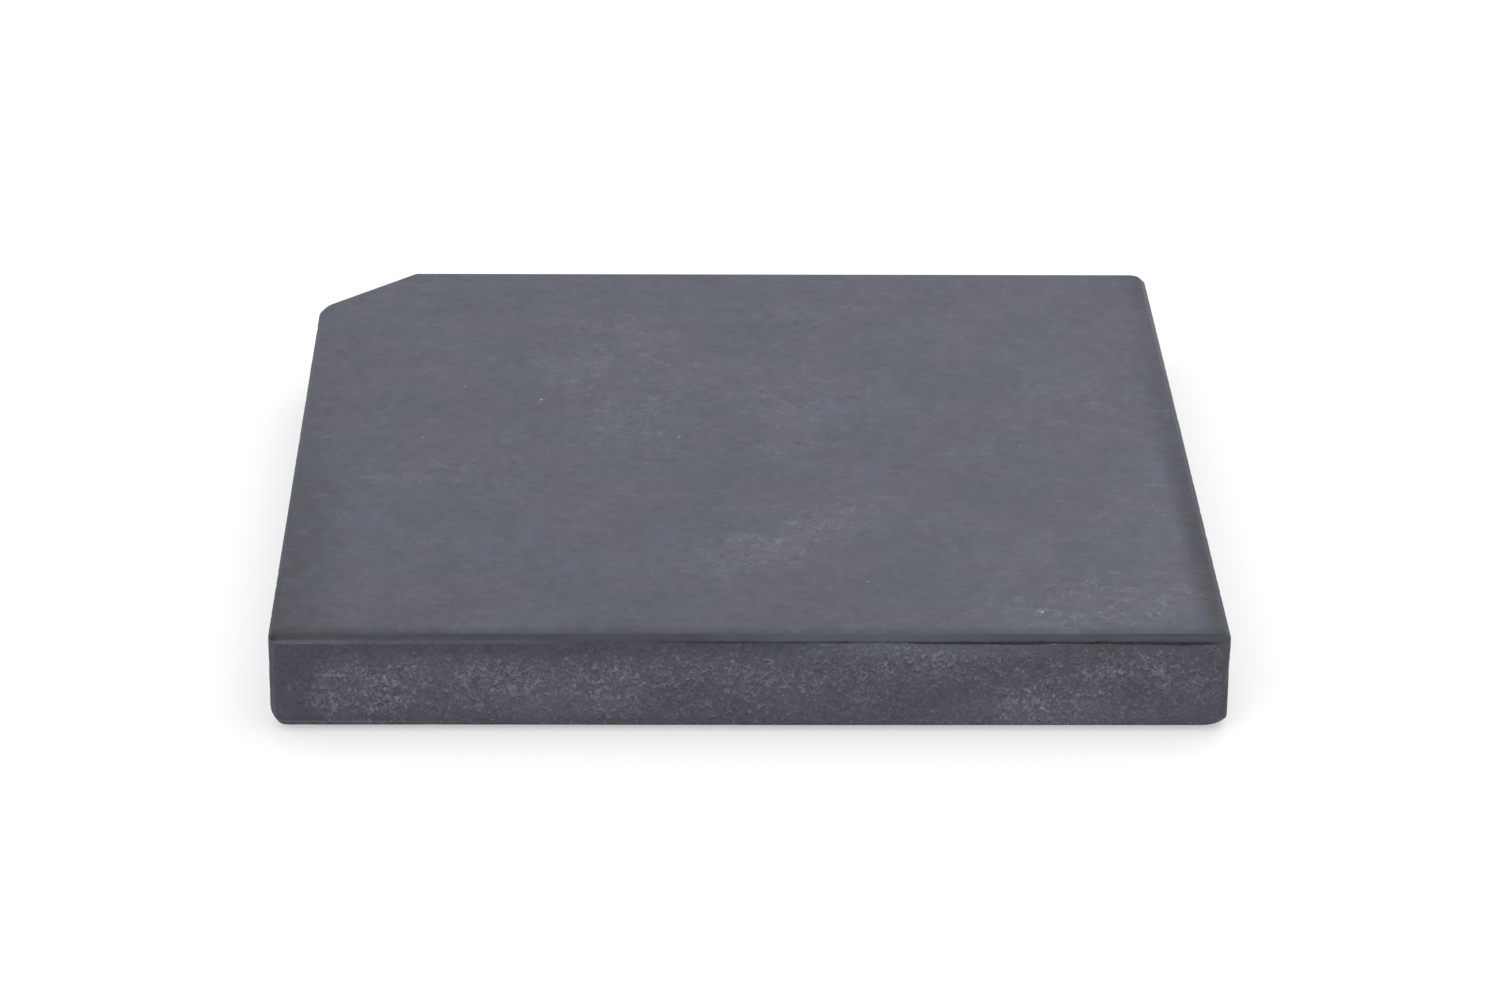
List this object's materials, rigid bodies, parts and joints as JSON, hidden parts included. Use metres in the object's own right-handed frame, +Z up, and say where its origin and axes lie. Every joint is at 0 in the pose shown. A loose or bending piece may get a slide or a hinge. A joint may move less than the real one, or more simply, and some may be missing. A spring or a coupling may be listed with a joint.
{
  "type": "granite slab",
  "caption": "Square granite plate with one corner cut off, a honed working top, rough sides, a small bevel on every edge and stick-on rubber feet.",
  "frame": {"origin": "middle of the plate's square footprint, on the surface that the feet stand on", "axes": "+Z up through the working top, +X to the right along the front side, +Y to the back; the cut corner is the back left one, at -X +Y"},
  "size_m": [0.45, 0.45, 0.05],
  "materials": {
    "granite": "satin",
    "foot_rubber": "matte",
    "adhesive_foam": "matte"
  },
  "bodies": {
    "root": {"granite_slab": "granite", "rubber_foot_front_left": "foot_rubber", "rubber_foot_front_right": "foot_rubber", "rubber_foot_back_left": "foot_rubber", "rubber_foot_back_right": "foot_rubber", "adhesive_disc_front_left": "adhesive_foam", "adhesive_disc_front_right": "adhesive_foam", "adhesive_disc_back_left": "adhesive_foam", "adhesive_disc_back_right": "adhesive_foam"}
  },
  "joints": []
}
